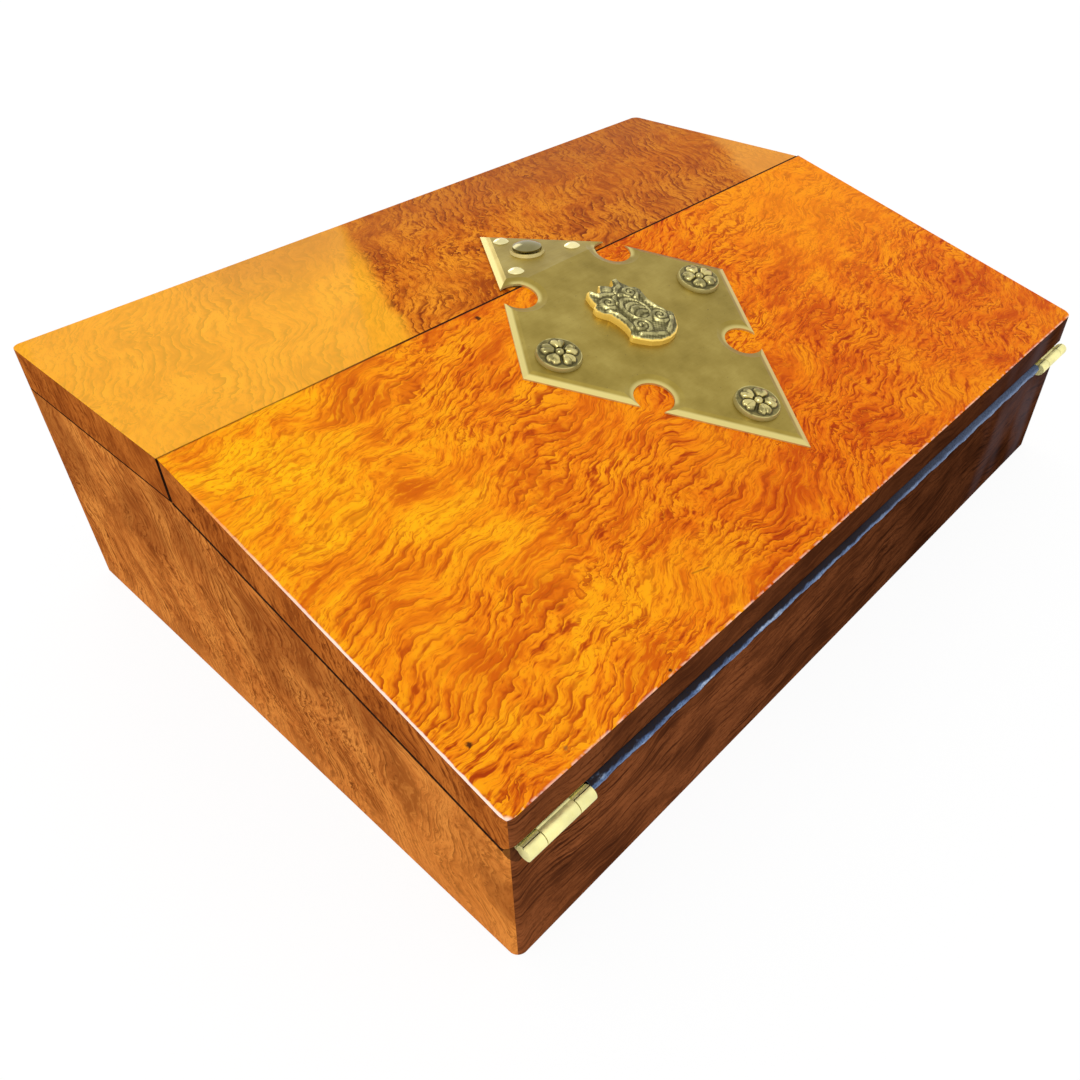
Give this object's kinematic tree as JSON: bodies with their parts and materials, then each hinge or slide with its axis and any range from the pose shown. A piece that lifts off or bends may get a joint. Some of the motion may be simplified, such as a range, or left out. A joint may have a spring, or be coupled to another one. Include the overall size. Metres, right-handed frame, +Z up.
{
  "type": "writing box",
  "caption": "Sloping writing box with a fold-out veneered flap, a rear lid over inkwells and letter slots, and a brass catch plate.",
  "frame": {"origin": "middle of the underside", "axes": "+X to the right along the front, +Y to the back, +Z up"},
  "size_m": [0.356, 0.2622, 0.114],
  "materials": {
    "burr_veneer": "glossy figured veneer",
    "side_veneer": "satin mottled veneer",
    "front_veneer": "satin dark walnut veneer",
    "inner_wood": "plain satin hardwood",
    "ink_glass": "clear moulded glass",
    "plate_brass": "satin aged brass",
    "cast_brass": "cast brass, rubbed bright on the high spots",
    "hinge_brass": "polished brass",
    "spring_steel": "tempered spring steel",
    "blue_velvet": "worn cotton velvet",
    "ribbon": "woven silk ribbon"
  },
  "bodies": {
    "carcase": {"base_bottom": "inner_wood", "front_wall": "front_veneer", "back_wall": "front_veneer", "left_wall": "side_veneer", "right_wall": "side_veneer", "cross_partition": "inner_wood", "panel_ledges": "inner_wood", "bay_dividers": "inner_wood", "inkwell_shelves": "inner_wood", "letter_dividers": "inner_wood", "pen_tray": "inner_wood", "tray_bearers": "inner_wood", "inkwell_left": "ink_glass", "inkwell_right": "ink_glass", "inkwell_collar_left": "cast_brass", "inkwell_collar_right": "cast_brass", "front_base_leaf_left": "hinge_brass", "front_base_leaf_right": "hinge_brass", "front_pin_left": "hinge_brass", "front_pin_right": "hinge_brass", "rear_base_leaf_left": "hinge_brass", "rear_base_leaf_right": "hinge_brass", "rear_pin_left": "hinge_brass", "rear_pin_right": "hinge_brass", "base_screws": "hinge_brass", "hinge_cloth": "blue_velvet"},
    "panel": {"writing_panel": "inner_wood", "panel_velvet": "blue_velvet", "lifting_tab": "ribbon"},
    "front_flap": {"flap_top": "burr_veneer", "flap_front_rim": "front_veneer", "flap_rear_rim": "front_veneer", "flap_left_rim": "side_veneer", "flap_right_rim": "side_veneer", "flap_board": "inner_wood", "flap_velvet": "blue_velvet", "brass_plate": "plate_brass", "cartouche": "cast_brass", "rosettes": "cast_brass", "tongue_studs": "cast_brass", "catch_plate": "plate_brass", "catch_hook": "spring_steel", "front_flap_leaf_left": "hinge_brass", "front_flap_leaf_right": "hinge_brass", "flap_screws": "hinge_brass", "button_spring": "spring_steel"},
    "button": {"release_button": "cast_brass"},
    "rear_lid": {"lid_top": "burr_veneer", "lid_front_rim": "front_veneer", "lid_back_rim": "front_veneer", "lid_left_rim": "side_veneer", "lid_right_rim": "side_veneer", "lid_lining": "blue_velvet", "keeper_plate": "plate_brass", "rear_lid_leaf_left": "hinge_brass", "rear_lid_leaf_right": "hinge_brass", "lid_screws": "hinge_brass"},
    "cap_left": {"inkwell_cap_left": "cast_brass"},
    "cap_right": {"inkwell_cap_right": "cast_brass"}
  },
  "joints": [
    {"name": "flap_hinge", "type": "hinge", "parent": "carcase", "child": "front_flap", "pos_m": [0, -0.1286, 0.0536], "axis": [1, 0, 0], "range_deg": [0, 177], "deforming": ["hinge_cloth"]},
    {"name": "panel_hinge", "type": "hinge", "parent": "carcase", "child": "panel", "pos_m": [0, -0.1167, 0.05582], "axis": [1, 0, 0], "range_deg": [0, 62]},
    {"name": "lid_hinge", "type": "hinge", "parent": "carcase", "child": "rear_lid", "pos_m": [0, 0.1286, 0.0912], "axis": [-1, 0, 0], "range_deg": [0, 98]},
    {"name": "button_press", "type": "slide", "parent": "front_flap", "child": "button", "axis": [0, 0, -1], "range_m": [0, 0.0015], "stiffness_N_per_m": 600, "deforming": ["button_spring", "catch_hook"]},
    {"name": "cap_left_hinge", "type": "hinge", "parent": "carcase", "child": "cap_left", "pos_m": [-0.147, 0.0603, 0.0853], "axis": [-1, 0, 0], "range_deg": [0, 90]},
    {"name": "cap_right_hinge", "type": "hinge", "parent": "carcase", "child": "cap_right", "pos_m": [0.147, 0.0603, 0.0853], "axis": [-1, 0, 0], "range_deg": [0, 90]}
  ],
  "couplings": [
    {"joint": "panel_hinge", "follows": "flap_hinge", "ratio": 0.35},
    {"joint": "lid_hinge", "follows": "flap_hinge", "ratio": 0.55},
    {"joint": "cap_left_hinge", "follows": "flap_hinge", "ratio": 0.5},
    {"joint": "cap_right_hinge", "follows": "flap_hinge", "ratio": 0.5}
  ]
}
